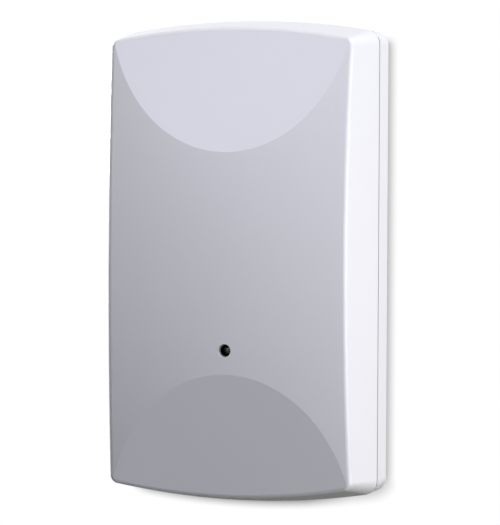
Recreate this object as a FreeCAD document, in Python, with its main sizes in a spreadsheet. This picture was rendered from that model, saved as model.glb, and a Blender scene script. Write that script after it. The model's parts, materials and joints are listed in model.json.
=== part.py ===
import FreeCAD, Part
import math
import os
import Sketcher

Vector = FreeCAD.Vector
doc = FreeCAD.newDocument("tilt_sensor")

# Driving dimensions in millimetres and degrees
SIZES = {
    # Housing, seen from the front
    "width": 43.8, "height": 79.5, "end_sag": 1.95, "corner_radius": 2.4, "face_corner": 1.0,
    # Housing, seen from the side
    "base_depth": 6.5, "seam_reveal": 0.35, "crown_gap": 1.5,
    "side_draft": 7.6, "end_draft": 8.3,
    # Front face: curved across and along, with a flat facet at each end
    "bulge_radius": 171, "bow_radius": 263, "facet_start": 17.9, "facet_tilt": 9.5, "face_round": 0.8,
    "form_skin": 0.05, "back_round": 0.4,
    # Walls of the two mouldings
    "cover_wall": 1.5, "face_wall": 1.5, "floor": 1.8, "inner_corner": 0.8,
    "tongue_fit": 0.12, "tongue_height": 2.0, "tongue_wall": 1.0, "rib": 1.0, "seat_gap": 0.3,
    # Wall screws and the board's own screws
    "screw_spacing": 60, "screw_hole": 4.2, "screw_land": 8.4, "land_height": 0.7, "screw_access": 9.4,
    "boss": 5.2, "rest": 3.5, "board_screw": 2.2, "board_screw_head": 4.4, "board_screw_grip": 2.6,
    "head_height": 1.5, "drive_width": 0.6, "drive_length": 2.6, "drive_depth": 0.7,
    # Circuit board
    "board_standoff": 2.4, "board_thickness": 1.6, "board_edge_gap": 0.3, "board_end_gap": 0.6,
    "lead_hole_gap": 0.1, "lead_tail": 0.9, "column_gap": 1.5,
    # Battery
    "cell_diameter": 17, "cell_can": 16.7, "cell_length": 34.5, "cell_nub": 6.4, "nub_height": 0.9,
    "cell_gap": 0.3, "cell_side_gap": 0.2, "cell_board_gap": 0.5, "cradle_width": 1.6,
    "cradle_reach": 6.5, "rib_drop": 6.1,
    "clip_width": 11, "clip_sheet": 0.4, "clip_foot": 2.6, "clip_reach": 9.6, "clip_button": 5.0,
    "button_height": 0.5, "leaf_space": 3.2, "leaf_width": 7.0, "leaf_length": 8.0,
    # Status light
    "light_hole": 2.1, "light_drop": 14.0, "light_cell_gap": 0.25, "light_diameter": 3.0, "light_length": 5.3,
    "light_flange": 3.8, "flange_height": 1.0, "light_lead": 0.5, "light_pitch": 1.27, "spacer": 3.2,
    "light_tube": 4.2, "light_tube_wall": 0.7,
    # Tilt switch: a ball in a slanted can
    "tilt_angle": 45, "tilt_can": 5.0, "tilt_wall": 0.4, "tilt_length": 9.5, "tilt_cap": 0.6,
    "header_height": 1.6, "ball_clearance": 0.05, "ball_seat": 0.02, "contact_height": 0.7,
    "tilt_pin": 0.6, "tilt_pitch": 2.2, "tilt_height": 3.0, "pin_reach": 1.3,
    # Tamper switch under the cover's post
    "tamper_side": 6.0, "tamper_height": 3.6, "tamper_plate": 0.3, "tamper_drop": 24, "tamper_stem": 3.2,
    "tamper_flange": 4.6, "tamper_flange_height": 0.6, "tamper_reach": 8.6, "tamper_travel": 1.2,
    "tamper_slack": 0.1, "slide_gap": 0.08, "tamper_lead": 0.7, "tamper_pitch": 4.5, "post": 4.6,
    # Radio
    "shield_length": 11.5, "shield_width": 10, "shield_height": 2.2, "shield_sheet": 0.25,
    "shield_gap": 1.2, "radio_side": 4.0, "radio_thickness": 0.9, "radio_offset": 2.3,
    "radio_crystal_length": 3.2, "radio_crystal_width": 2.5, "radio_crystal_offset": 2.9,
    "antenna_wire": 1.0, "antenna_rise": 5.6, "antenna_bend": 2.2, "antenna_left": 4.2,
    "antenna_right": 7.0, "antenna_gap": 4.25,
    # Controller and the small parts
    "controller_side": 7.0, "controller_thickness": 1.1, "controller_foot": 1.0, "controller_pitch": 0.8,
    "controller_pins": 8, "pin_width": 0.35, "pin_sheet": 0.15, "controller_drop": 5.1,
    "crystal_length": 11.0, "crystal_width": 4.6, "crystal_height": 3.4, "crystal_flange": 0.5,
    "crystal_gap": 0.9, "capacitor": 5.0, "capacitor_height": 5.4, "capacitor_foot": 5.3,
    "foot_height": 0.8, "capacitor_drop": 0.5, "regulator_length": 4.5, "regulator_width": 2.5,
    "regulator_height": 1.5, "regulator_gap": 2.75, "regulator_pitch": 1.5, "chip_length": 2.0,
    "chip_width": 1.25, "chip_height": 0.55, "chip_pitch": 2.75, "chip_edge_gap": 0.4,
    "resistor_drop": 8.6, "filter_rise": 5.2, "strip_gap": 0.9, "strip_reach": 5.6, "strip_pitch": 3.2,
    # Snap arms of the cover and the pry notch
    "arm_width": 5.0, "arm_sheet": 0.8, "arm_offset": 12, "arm_gap": 0.4, "nose": 0.3, "arm_end": 2.6,
    "nose_height": 1.2, "window_height": 1.9, "notch_width": 6.0, "notch_depth": 1.2, "notch_reach": 1.4,
}

sheet = doc.addObject("Spreadsheet::Sheet", "sizes")
for row, (alias, amount) in enumerate(SIZES.items(), start=1):
    sheet.set(f"A{row}", alias)
    sheet.set(f"B{row}", str(amount))
    sheet.setAlias(f"B{row}", alias)
doc.recompute()


def spell(rule):
    """Write a rule over size names as an expression that reads the sheet."""
    words = []
    word = ""
    for letter in rule + " ":
        if letter.isalnum() or letter in "_.":
            word += letter
            continue
        words.append("sizes." + word if word in SIZES else word)
        words.append(letter)
        word = ""
    return "".join(words).strip()


def worth(rule):
    """The number that a rule gives with the sheet as it is."""
    return float(sheet.evalExpression(spell(rule)))


def bind(item, name, rule):
    item.setExpression(name, spell(rule))


# Planes and places that several pieces share
RIM = "(base_depth + seam_reveal)"
CROWN = "(floor + cell_gap + cell_diameter + crown_gap + face_wall)"
TONGUE_OUT = "(cover_wall + tongue_fit + tongue_height * tan(end_draft))"
TONGUE_IN = f"({TONGUE_OUT} + tongue_wall)"
BOARD_BACK = "(-floor - board_standoff)"
BOARD_FRONT = f"({BOARD_BACK} - board_thickness)"
BOARD_SIDE = f"(width / 2 - {TONGUE_IN} - board_edge_gap)"
BOARD_END = f"(height / 2 - end_sag - {TONGUE_IN} - board_end_gap)"
CELL_X = f"(-width / 2 + {TONGUE_IN} + cell_side_gap + cell_diameter / 2)"
CELL_Y = "(-floor - cell_gap - cell_diameter / 2)"
CELL_END = "(cell_length / 2)"
BAY_SIDE = (f"({CELL_X} + cell_board_gap + "
            f"sqrt(pow(cell_diameter / 2; 2) - pow({CELL_Y} - {BOARD_FRONT}; 2)))")
BAY_TOP = f"({CELL_END} + button_height)"
BAY_BOTTOM = f"(-{CELL_END} - leaf_space)"
EDGE_X = f"({BOARD_SIDE} - chip_edge_gap - chip_length / 2)"
COLUMN_X = f"({EDGE_X} - chip_length / 2 - column_gap - controller_foot - controller_side / 2)"
LIGHT_X = f"({CELL_X} + cell_diameter / 2 + light_cell_gap + spacer / 2)"
LIGHT_Z = "(-light_drop)"
SCREW_Z = "(screw_spacing / 2)"


def face_depth(x, z):
    """How far the outer front face stands in front of the back, at a place on it."""
    curved = f"{CROWN} - pow({x}; 2) / (2 * bulge_radius) - pow({z}; 2) / (2 * bow_radius)"
    flat = f"{CROWN} - pow(facet_start; 2) / (2 * bow_radius) - (abs({z}) - facet_start) * tan(facet_tilt)"
    return f"min({curved}; {flat})"


# Sketches
def start_sketch(body, name, plane, offset="0"):
    sketch = body.newObject("Sketcher::SketchObject", name)
    base = next(item for item in body.Origin.OriginFeatures if item.Role == plane)
    sketch.AttachmentSupport = [(base, "")]
    sketch.MapMode = "FlatFace"
    bind(sketch, "AttachmentOffset.Base.z", offset)
    return sketch


def hold(sketch, name, rule, kind, *where):
    """Add one dimension to a sketch and bind it to a rule."""
    number = sketch.addConstraint(Sketcher.Constraint(kind, *where, worth(rule)))
    sketch.renameConstraint(number, name)
    bind(sketch, f"Constraints.{name}", rule)


def polygon(sketch, corners):
    """A closed outline of straight lines whose corners are pairs of rules."""
    spots = [Vector(worth(across), worth(along), 0) for across, along in corners]
    count = len(spots)
    for index in range(count):
        sketch.addGeometry(Part.LineSegment(spots[index], spots[(index + 1) % count]))
    for index in range(count):
        sketch.addConstraint(Sketcher.Constraint("Coincident", index, 2, (index + 1) % count, 1))
    for index, (across, along) in enumerate(corners):
        hold(sketch, f"across{index}", across, "DistanceX", -1, 1, index, 1)
        hold(sketch, f"along{index}", along, "DistanceY", -1, 1, index, 1)


def housing_outline(sketch, half_width, half_height, corner):
    """Straight sides, gently arched ends and round corners, all tangent."""
    across, up, turn = worth(half_width), worth(half_height), worth(corner)
    arch = f"((pow({half_width}; 2) + pow(end_sag; 2)) / (2 * end_sag))"
    radius = worth(arch)
    centre = up - radius
    corner_x = across - turn
    corner_z = centre + math.sqrt((radius - turn) ** 2 - corner_x ** 2)
    lean = math.atan2(corner_z - centre, corner_x)
    half_turn = math.pi

    def arc(x, z, size, start, end):
        circle = Part.Circle(Vector(x, z, 0), Vector(0, 0, 1), size)
        sketch.addGeometry(Part.ArcOfCircle(circle, start, end))

    sketch.addGeometry(Part.LineSegment(Vector(across, -corner_z, 0), Vector(across, corner_z, 0)))
    arc(corner_x, corner_z, turn, 0, lean)
    arc(0, centre, radius, lean, half_turn - lean)
    arc(-corner_x, corner_z, turn, half_turn - lean, half_turn)
    sketch.addGeometry(Part.LineSegment(Vector(-across, corner_z, 0), Vector(-across, -corner_z, 0)))
    arc(-corner_x, -corner_z, turn, half_turn, half_turn + lean)
    arc(0, -centre, radius, half_turn + lean, 2 * half_turn - lean)
    arc(corner_x, -corner_z, turn, 2 * half_turn - lean, 2 * half_turn)
    for index in range(8):
        sketch.addConstraint(Sketcher.Constraint("Tangent", index, 2, (index + 1) % 8, 1))
    for end in (2, 6):
        sketch.addConstraint(Sketcher.Constraint("PointOnObject", end, 3, -2))
    for side in (0, 4):
        sketch.addConstraint(Sketcher.Constraint("Vertical", side))
    for other in (3, 5, 7):
        sketch.addConstraint(Sketcher.Constraint("Equal", 1, other))
    sketch.addConstraint(Sketcher.Constraint("Equal", 2, 6))
    hold(sketch, "corner", corner, "Radius", 1)
    hold(sketch, "arch", arch, "Radius", 2)
    hold(sketch, "right", half_width, "DistanceX", -1, 1, 0, 1)
    hold(sketch, "left", half_width, "DistanceX", 4, 1, -1, 1)
    hold(sketch, "top", f"{arch} - {half_height}", "DistanceY", 2, 3, -1, 1)
    hold(sketch, "bottom", f"{arch} - {half_height}", "DistanceY", -1, 1, 6, 3)


# Solids
def pad(body, name, sketch, length):
    feature = body.newObject("PartDesign::Pad", name)
    feature.Profile = sketch
    bind(feature, "Length", length)
    return feature


def pocket(body, name, sketch, length):
    """Cut from the sketch's plane towards the back of the housing."""
    feature = body.newObject("PartDesign::Pocket", name)
    feature.Profile = sketch
    bind(feature, "Length", length)
    return feature


def block(name, x, y, z):
    """A box between the low and high rules of each axis."""
    box = doc.addObject("Part::Box", name)
    for side, letter, (low, high) in zip(("Length", "Width", "Height"), "xyz", (x, y, z)):
        bind(box, side, f"({high}) - ({low})")
        bind(box, f"Placement.Base.{letter}", low)
    return box


# Turns that take a cylinder from +Z to the way it runs
FORWARD = FreeCAD.Rotation(Vector(1, 0, 0), 90)
BACKWARD = FreeCAD.Rotation(Vector(1, 0, 0), -90)
UPWARD = FreeCAD.Rotation()
ACROSS = FreeCAD.Rotation(Vector(0, 1, 0), 90)


def rod(name, start, radius, length, turn=FORWARD, kind="Part::Cylinder"):
    """A cylinder that starts at a place and runs the way its turn says."""
    cylinder = doc.addObject(kind, name)
    cylinder.Placement = FreeCAD.Placement(Vector(), turn)
    for letter, rule in zip("xyz", start):
        bind(cylinder, f"Placement.Base.{letter}", rule)
    bind(cylinder, "Radius", radius)
    bind(cylinder, "Height", length)
    return cylinder


def ball(name, centre, radius):
    sphere = doc.addObject("Part::Sphere", name)
    for letter, rule in zip("xyz", centre):
        bind(sphere, f"Placement.Base.{letter}", rule)
    bind(sphere, "Radius", radius)
    return sphere


def fuse(name, *shapes):
    union = doc.addObject("Part::MultiFuse", name)
    union.Shapes = list(shapes)
    return union


def cut(name, base, tool):
    result = doc.addObject("Part::Cut", name)
    result.Base = base
    result.Tool = tool
    return result


def common(name, *shapes):
    result = doc.addObject("Part::MultiCommon", name)
    result.Shapes = list(shapes)
    return result


def group(name, *shapes):
    """Separate solids that share one node."""
    result = doc.addObject("Part::Compound", name)
    result.Links = list(shapes)
    return result


pieces = []


def piece(item, label):
    item.Label = label
    pieces.append(item)
    return item


# Front cover
def drafted_sides(name, inset, low, corner, front_corner):
    """The space inside the drafted side walls, from a low level to past the crown."""
    sides = doc.addObject("PartDesign::Body", f"{name}_sides")
    outlines = []
    for mark, level, turn in (("back", low, corner), ("front", f"({CROWN} + face_round)", front_corner)):
        drop = f"({level} - {RIM})"
        sketch = start_sketch(sides, f"{name}_{mark}", "XZ_Plane", level)
        housing_outline(sketch, f"(width / 2 - {inset} - {drop} * tan(side_draft))",
                        f"(height / 2 - {inset} - {drop} * tan(end_draft))", turn)
        outlines.append(sketch)
    loft = sides.newObject("PartDesign::AdditiveLoft", f"{name}_draft")
    loft.Profile = outlines[0]
    loft.Sections = [outlines[1]]
    loft.Ruled = True
    return sides


def crowned_face(name, inset):
    """A block whose front curves across by one radius and along by another."""
    pillow = doc.addObject("PartDesign::Body", f"{name}_pillow")
    sketch = start_sketch(pillow, f"{name}_bulge", "XY_Plane")
    radius, reach, back = f"(bulge_radius - {inset})", "(width / 2 + corner_radius)", "corner_radius"
    centre = f"(bulge_radius - {CROWN})"
    size, across, depth, middle = worth(radius), worth(reach), worth(back), worth(centre)
    swing = math.asin(across / size)
    front = middle - math.sqrt(size ** 2 - across ** 2)
    circle = Part.Circle(Vector(0, middle, 0), Vector(0, 0, 1), size)
    sketch.addGeometry(Part.ArcOfCircle(circle, -math.pi / 2 - swing, -math.pi / 2 + swing))
    spots = [(across, front), (across, depth), (-across, depth), (-across, front)]
    for start, end in zip(spots, spots[1:]):
        sketch.addGeometry(Part.LineSegment(Vector(*start, 0), Vector(*end, 0)))
    for index in range(4):
        sketch.addConstraint(Sketcher.Constraint("Coincident", index, 2, (index + 1) % 4, 1))
    sketch.addConstraint(Sketcher.Constraint("Vertical", 1))
    sketch.addConstraint(Sketcher.Constraint("Vertical", 3))
    sketch.addConstraint(Sketcher.Constraint("Horizontal", 2))
    sketch.addConstraint(Sketcher.Constraint("PointOnObject", 0, 3, -2))
    hold(sketch, "bulge", radius, "Radius", 0)
    hold(sketch, "middle", centre, "DistanceY", -1, 1, 0, 3)
    hold(sketch, "right", reach, "DistanceX", -1, 1, 1, 1)
    hold(sketch, "left", reach, "DistanceX", 3, 2, -1, 1)
    hold(sketch, "back", back, "DistanceY", -1, 1, 1, 2)
    far = f"(bow_radius - {CROWN})"
    line = Part.LineSegment(Vector(-across, worth(far), 0), Vector(across, worth(far), 0))
    axis = sketch.addGeometry(line, True)
    sketch.addConstraint(Sketcher.Constraint("Horizontal", axis))
    hold(sketch, "bow", far, "DistanceY", -1, 1, axis, 1)
    hold(sketch, "axis_left", reach, "DistanceX", axis, 1, -1, 1)
    hold(sketch, "axis_right", reach, "DistanceX", -1, 1, axis, 2)
    doc.recompute()
    turned = pillow.newObject("PartDesign::Revolution", f"{name}_bow")
    turned.Profile = sketch
    turned.ReferenceAxis = (sketch, ["Axis0"])
    turned.Midplane = True
    bind(turned, "Angle", f"2 * asin((height / 2 + corner_radius) / {far})")
    return pillow


def facet_wedge(name, inset):
    """A wedge whose two sloping planes carry the flat facets."""
    wedge = doc.addObject("PartDesign::Body", f"{name}_wedge")
    sketch = start_sketch(wedge, f"{name}_profile", "YZ_Plane", "-width")
    reach = "(height / 2 + corner_radius)"
    ridge = (f"({CROWN} - {inset} / cos(facet_tilt) - pow(facet_start; 2) / (2 * bow_radius)"
             " + facet_start * tan(facet_tilt))")
    tip = f"(-{ridge} + {reach} * tan(facet_tilt))"
    back = "corner_radius"
    polygon(sketch, [(f"-{ridge}", "0"), (tip, f"-{reach}"), (back, f"-{reach}"),
                     (back, reach), (tip, reach)])
    pad(wedge, f"{name}_block", sketch, "2 * width")
    return wedge


def round_face(name, base, edges):
    """Round the given edges of a form by the front face's radius."""
    numbers = [number for number, edge in enumerate(base.Shape.Edges, start=1)
               if any(edge.isSame(other) for other in edges)]
    radius = worth("face_round")
    feature = doc.addObject("Part::Fillet", name)
    feature.Base = base
    feature.Edges = [(number, radius, radius) for number in numbers]
    return feature


# The rounding of the crowned face and that of the facets are made apart, because they cross
# where a facet's arc runs out at the housing's corner. The second form is a hair wider, so
# that its sides stay off the sides that show.
crown_form = common("crown_form", drafted_sides("crown", "0", RIM, "corner_radius", "face_corner"),
                    crowned_face("crown", "0"))
end_form = common("end_form", drafted_sides("ends", "-form_skin", RIM, "corner_radius", "face_corner"),
                  facet_wedge("ends", "0"))
hollow = common("cover_hollow",
                drafted_sides("hollow", "cover_wall", f"({RIM} - seam_reveal)", "inner_corner",
                              "inner_corner"),
                crowned_face("hollow", "face_wall"), facet_wedge("hollow", "face_wall"))
doc.recompute()
crown_edges = [edge for face in crown_form.Shape.Faces
               if face.Surface.TypeId.endswith("SurfaceOfRevolution") for edge in face.Edges]
facet_edges = [edge for face in end_form.Shape.Faces
               if face.Surface.TypeId.endswith("Plane") and 0.01 < abs(face.normalAt(0, 0).z) < 0.9
               for edge in face.Edges if edge.BoundBox.YLength > 0.1 or edge.BoundBox.YMin > -worth(CROWN)]
rounded_crown = round_face("rounded_crown", crown_form, crown_edges)
rounded_ends = round_face("rounded_ends", end_form, facet_edges)
cover_block = common("cover_block", rounded_crown, rounded_ends)
cover_shell = cut("cover_shell", cover_block, hollow)

LIGHT_FACE = face_depth(LIGHT_X, LIGHT_Z)
LIGHT_TIP = f"({LIGHT_FACE} - face_wall - seat_gap)"
LIGHT_BASE = f"({LIGHT_TIP} - light_length)"
TAMPER_X = COLUMN_X
TAMPER_Z = "(-tamper_drop)"
TAMPER_TIP = f"({BOARD_FRONT} - tamper_reach)"


def hanging(name, x, z, radius, end):
    """A round post moulded under the cover's face, down to an end level."""
    root = f"({face_depth(x, z)} - face_wall / 2)"
    return rod(name, (x, f"-{root}", z), radius, f"{root} + ({end})", BACKWARD)


light_sleeve = hanging("light_sleeve", LIGHT_X, LIGHT_Z, "(light_tube / 2 + light_tube_wall)",
                       f"(-{LIGHT_TIP} + light_length / 2)")
light_bore = rod("light_bore", (LIGHT_X, f"(-{LIGHT_TIP} - seat_gap)", LIGHT_Z), "light_tube / 2", CROWN,
                 BACKWARD)
light_hole = rod("light_hole", (LIGHT_X, f"-{RIM}", LIGHT_Z), "light_hole / 2", CROWN)
tamper_post = hanging("tamper_post", TAMPER_X, TAMPER_Z, "post / 2", f"({TAMPER_TIP} - tamper_slack)")

ARM_TURN = f"((pow(width / 2 - {TONGUE_IN}; 2) + pow(end_sag; 2)) / (2 * end_sag))"
ARM_OUT = (f"(height / 2 - {TONGUE_IN} - arm_gap"
           f" - pow(arm_offset + arm_width / 2; 2) / (2 * {ARM_TURN}))")
ARM_ROOT = f"({face_depth('0', ARM_OUT)} - face_wall)"
arms = []
windows = []
for end, up in (("top", 1), ("bottom", -1)):
    for side, right in (("left", -1), ("right", 1)):
        name = f"{end}_{side}"
        span = (f"({right} * arm_offset - arm_width / 2)", f"({right} * arm_offset + arm_width / 2)")

        def across(low, high):
            return (low, high) if up > 0 else (f"-({high})", f"-({low})")

        arms.append(block(f"arm_{name}", span, (f"-{ARM_ROOT}", "-arm_end"),
                          across(f"{ARM_OUT} - arm_sheet", ARM_OUT)))
        arms.append(block(f"nose_{name}", span, ("-arm_end - nose_height", "-arm_end"),
                          across(f"{ARM_OUT} - arm_sheet / 2", f"{ARM_OUT} + nose")))
        windows.append(block(f"window_{name}", (f"{span[0]} - seat_gap", f"{span[1]} + seat_gap"),
                             ("-arm_end - window_height", "-arm_end + seat_gap"),
                             across(ARM_OUT, f"{ARM_OUT} + arm_gap + 2 * nose")))

cell_clearance = rod("cell_clearance", (CELL_X, CELL_Y, f"-{CELL_END}"), "cell_diameter / 2 + seat_gap",
                     "cell_length", UPWARD)
cover_ribs = []
cradles = []
for mark, z in (("low", f"(-{CELL_END} / 2)"), ("high", f"({CELL_END} / 2)")):
    face = f"({face_depth(CELL_X, z)} - face_wall / 2 - rib / 4)"
    span = (f"{CELL_X} - cradle_reach", f"{CELL_X} + cradle_reach")
    cover_ribs.append(block(f"cell_rib_{mark}", span, (f"-{face}", f"{CELL_Y} - rib_drop"),
                            (f"{z} - rib / 2", f"{z} + rib / 2")))
    cradles.append(block(f"cradle_{mark}", span, (f"{BOARD_BACK} + seat_gap", "-floor / 2"),
                         (f"{z} - cradle_width / 2", f"{z} + cradle_width / 2")))
cover_solid = fuse("cover_solid", cover_shell, light_sleeve, tamper_post, *arms)
ribs = cut("cell_ribs", fuse("rib_blocks", *cover_ribs), cell_clearance)
light_way = fuse("light_way", light_bore, light_hole)
piece(cut("cover_open", fuse("cover_all", cover_solid, ribs), light_way), "front_cover")

# Back base
base = doc.addObject("PartDesign::Body", "base_tray")
outline = start_sketch(base, "base_outline", "XZ_Plane")
housing_outline(outline, "(width / 2)", "(height / 2)", "corner_radius")
pad(base, "base_block", outline, "base_depth")
tongue = start_sketch(base, "tongue_outline", "XZ_Plane", "base_depth")
housing_outline(tongue, f"(width / 2 - {TONGUE_OUT})", f"(height / 2 - {TONGUE_OUT})", "inner_corner")
pad(base, "base_tongue", tongue, "tongue_height")
inside = start_sketch(base, "base_inside", "XZ_Plane", "(base_depth + tongue_height)")
housing_outline(inside, f"(width / 2 - {TONGUE_IN})", f"(height / 2 - {TONGUE_IN})", "inner_corner")
pocket(base, "base_hollow", inside, "(base_depth + tongue_height - floor)")
doc.recompute()
back_edge = base.newObject("PartDesign::Fillet", "base_back_round")
hollow_feature = doc.getObject("base_hollow")
back_edges = [f"Edge{number}" for number, edge in enumerate(hollow_feature.Shape.Edges, start=1)
              if edge.BoundBox.YMin > -0.01]
back_edge.Base = (hollow_feature, back_edges)
bind(back_edge, "Radius", "back_round")

BOSS_INSET = "(board_screw_head / 2 + rib)"
BOSS_SPOTS = {"high": (f"(-{BOARD_SIDE} + {BOSS_INSET})", f"({BOARD_END} - {BOSS_INSET})"),
              "low": (f"({BOARD_SIDE} - {BOSS_INSET})", f"(-{BOARD_END} + {BOSS_INSET})")}
REST_SPOTS = {"high": (f"({BOARD_SIDE} - {BOSS_INSET})", f"({BOARD_END} - {BOSS_INSET})"),
              "low": (f"(-{BOARD_SIDE} + {BOSS_INSET})", f"(-{BOARD_END} + {BOSS_INSET})")}
SCREWS = {"high": SCREW_Z, "low": f"(-{SCREW_Z})"}
on_floor = []
through_floor = []
for mark, (x, z) in BOSS_SPOTS.items():
    on_floor.append(rod(f"boss_{mark}", (x, "-floor / 2", z), "boss / 2", "floor / 2 + board_standoff"))
    through_floor.append(rod(f"pilot_{mark}", (x, f"{BOARD_BACK} + board_screw_grip + seat_gap", z),
                             "board_screw / 2", "board_screw_grip + 2 * seat_gap"))
for mark, (x, z) in REST_SPOTS.items():
    on_floor.append(rod(f"rest_{mark}", (x, "-floor / 2", z), "rest / 2", "floor / 2 + board_standoff"))
for mark, z in SCREWS.items():
    on_floor.append(rod(f"land_{mark}", ("0", "-floor / 2", z), "screw_land / 2", "floor / 2 + land_height"))
    through_floor.append(rod(f"screw_hole_{mark}", ("0", "floor", z), "screw_hole / 2",
                             "2 * floor + 2 * land_height"))
notch = block("pry_notch", ("-notch_width / 2", "notch_width / 2"),
              ("-base_depth - rib", "-base_depth + notch_depth"),
              ("-height / 2 - rib", "-height / 2 + notch_reach"))
saddles = cut("saddles", fuse("cradle_blocks", *cradles), cell_clearance)
tray = fuse("tray", base, saddles, *on_floor)
piece(cut("base_open", tray, fuse("base_openings", notch, *through_floor, *windows)), "back_base")

# Circuit board: it goes round the battery on three sides
board = doc.addObject("PartDesign::Body", "board_blank")
plan = start_sketch(board, "board_plan", "XZ_Plane", f"(-{BOARD_BACK})")
polygon(plan, [(f"-{BOARD_SIDE}", f"-{BOARD_END}"), (BOARD_SIDE, f"-{BOARD_END}"), (BOARD_SIDE, BOARD_END),
               (f"-{BOARD_SIDE}", BOARD_END), (f"-{BOARD_SIDE}", BAY_TOP), (BAY_SIDE, BAY_TOP),
               (BAY_SIDE, BAY_BOTTOM), (f"-{BOARD_SIDE}", BAY_BOTTOM)])
pad(board, "board_sheet", plan, "board_thickness")
board_holes = []
ACCESS_WAYS = {"high": (SCREWS["high"], f"({BOARD_END} + rib)"),
               "low": (f"(-{BOARD_END} - rib)", SCREWS["low"])}
for mark, z in SCREWS.items():
    board_holes.append(rod(f"access_{mark}", ("0", f"{BOARD_BACK} + rib", z), "screw_access / 2",
                           "board_thickness + 2 * rib"))
    board_holes.append(block(f"access_way_{mark}", ("-screw_access / 2", "screw_access / 2"),
                             (f"{BOARD_FRONT} - rib", f"{BOARD_BACK} + rib"), ACCESS_WAYS[mark]))


def board_hole(name, x, z, diameter):
    board_holes.append(rod(f"{name}_hole", (x, f"{BOARD_BACK} + rib", z),
                           f"{diameter} / 2 + lead_hole_gap", "board_thickness + 2 * rib"))


def lead(name, x, z, diameter, top):
    """A straight lead soldered through the board, up to a level in front of it."""
    board_hole(name, x, z, diameter)
    return rod(name, (x, f"{BOARD_BACK} + lead_tail", z), f"{diameter} / 2",
               f"{BOARD_BACK} + lead_tail - ({top})")


# Battery and its two contacts
can = rod("cell_can", (CELL_X, CELL_Y, f"-{CELL_END}"), "cell_can / 2", "cell_length - nub_height", UPWARD)
nub = rod("cell_nub", (CELL_X, CELL_Y, "0"), "cell_nub / 2", CELL_END, UPWARD)
piece(fuse("cell", can, nub), "battery_cell")
wrap = rod("wrap", (CELL_X, CELL_Y, f"(-{CELL_END} + clip_sheet)"), "cell_diameter / 2",
           "cell_length - nub_height - 2 * clip_sheet", UPWARD)
wrap_inside = rod("wrap_inside", (CELL_X, CELL_Y, f"-{CELL_END}"), "cell_can / 2", "cell_length", UPWARD)
piece(cut("wrap_tube", wrap, wrap_inside), "battery_sleeve")

CLIP_SPAN = (f"{CELL_X} - clip_width / 2", f"{CELL_X} + clip_width / 2")
CLIP_RISE = (f"{BOARD_FRONT} - clip_reach", BOARD_FRONT)
CLIP_FLAT = (f"{BOARD_FRONT} - clip_sheet", BOARD_FRONT)
button = rod("button", (CELL_X, CELL_Y, CELL_END), "clip_button / 2", "button_height", UPWARD)
plate = block("plus_plate", CLIP_SPAN, CLIP_RISE, (BAY_TOP, f"{BAY_TOP} + clip_sheet"))
foot = block("plus_foot", CLIP_SPAN, CLIP_FLAT, (BAY_TOP, f"{BAY_TOP} + clip_foot"))
piece(fuse("plus_clip", plate, foot, button), "positive_contact")
LEAF = "((pow(leaf_length / 2; 2) + pow(leaf_space; 2)) / (2 * leaf_space))"
leaf_axis = (f"{CELL_X} - leaf_width / 2", CELL_Y, f"(-{CELL_END} - {LEAF})")
leaf_ring = cut("leaf_ring", rod("leaf_outside", leaf_axis, LEAF, "leaf_width", ACROSS),
                rod("leaf_inside", leaf_axis, f"{LEAF} - clip_sheet", "leaf_width", ACROSS))
leaf_room = block("leaf_room", CLIP_SPAN, (f"{CELL_Y} - leaf_length", f"{CELL_Y} + leaf_length"),
                  (BAY_BOTTOM, f"-{CELL_END}"))
plate = block("minus_plate", CLIP_SPAN, CLIP_RISE, (f"{BAY_BOTTOM} - clip_sheet", BAY_BOTTOM))
foot = block("minus_foot", CLIP_SPAN, CLIP_FLAT, (f"{BAY_BOTTOM} - clip_foot", BAY_BOTTOM))
piece(fuse("minus_clip", plate, foot, common("leaf", leaf_ring, leaf_room)), "negative_contact")

# Status light on its spacer, just behind the hole in the cover
dome_at = f"(-{LIGHT_TIP} + light_diameter / 2)"
lens = fuse("lens", rod("lens_body", (LIGHT_X, f"-{LIGHT_BASE}", LIGHT_Z), "light_diameter / 2",
                        "light_length - light_diameter / 2"),
            ball("lens_dome", (LIGHT_X, dome_at, LIGHT_Z), "light_diameter / 2"),
            rod("lens_flange", (LIGHT_X, f"-{LIGHT_BASE}", LIGHT_Z), "light_flange / 2", "flange_height"))
piece(lens, "status_light")
light_leads = []
spacer_bores = []
for mark, sign in (("left", "-"), ("right", "+")):
    x = f"({LIGHT_X} {sign} light_pitch / 2)"
    light_leads.append(lead(f"light_lead_{mark}", x, LIGHT_Z, "light_lead", f"(-{LIGHT_BASE})"))
    spacer_bores.append(rod(f"spacer_bore_{mark}", (x, BOARD_BACK, LIGHT_Z),
                            "light_lead / 2 + slide_gap", CROWN))
piece(group("light_lead_pair", *light_leads), "light_leads")
spacer = rod("spacer_block", (LIGHT_X, BOARD_FRONT, LIGHT_Z), "spacer / 2", f"{BOARD_FRONT} + {LIGHT_BASE}")
piece(cut("spacer_open", spacer, fuse("spacer_bores", *spacer_bores)), "light_spacer")

# Tilt switch: its can leans back, so that the ball leaves the pins when the door lies flat
TILT_Y = f"({BOARD_FRONT} - seat_gap - tilt_can / 2 * cos(tilt_angle))"
BALL = "(tilt_can / 2 - tilt_wall - ball_clearance)"
BALL_AT = (f"(header_height + contact_height + ball_seat + "
           f"sqrt(pow({BALL}; 2) - pow(tilt_pitch / 2 - tilt_pin / 2; 2)))")
LEAN = FreeCAD.Rotation(Vector(1, 0, 0), worth("tilt_angle"))


def along_can(distance, x=COLUMN_X):
    """The place at a distance up the slanted can from the middle of its low end."""
    return (x, f"({TILT_Y} - ({distance}) * sin(tilt_angle))",
            f"(tilt_height + ({distance}) * cos(tilt_angle))")


def slanted(name, start, radius, length, x=COLUMN_X):
    item = rod(name, along_can(start, x), radius, length, LEAN)
    bind(item, "Placement.Rotation.Angle", "tilt_angle")
    return item


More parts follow.
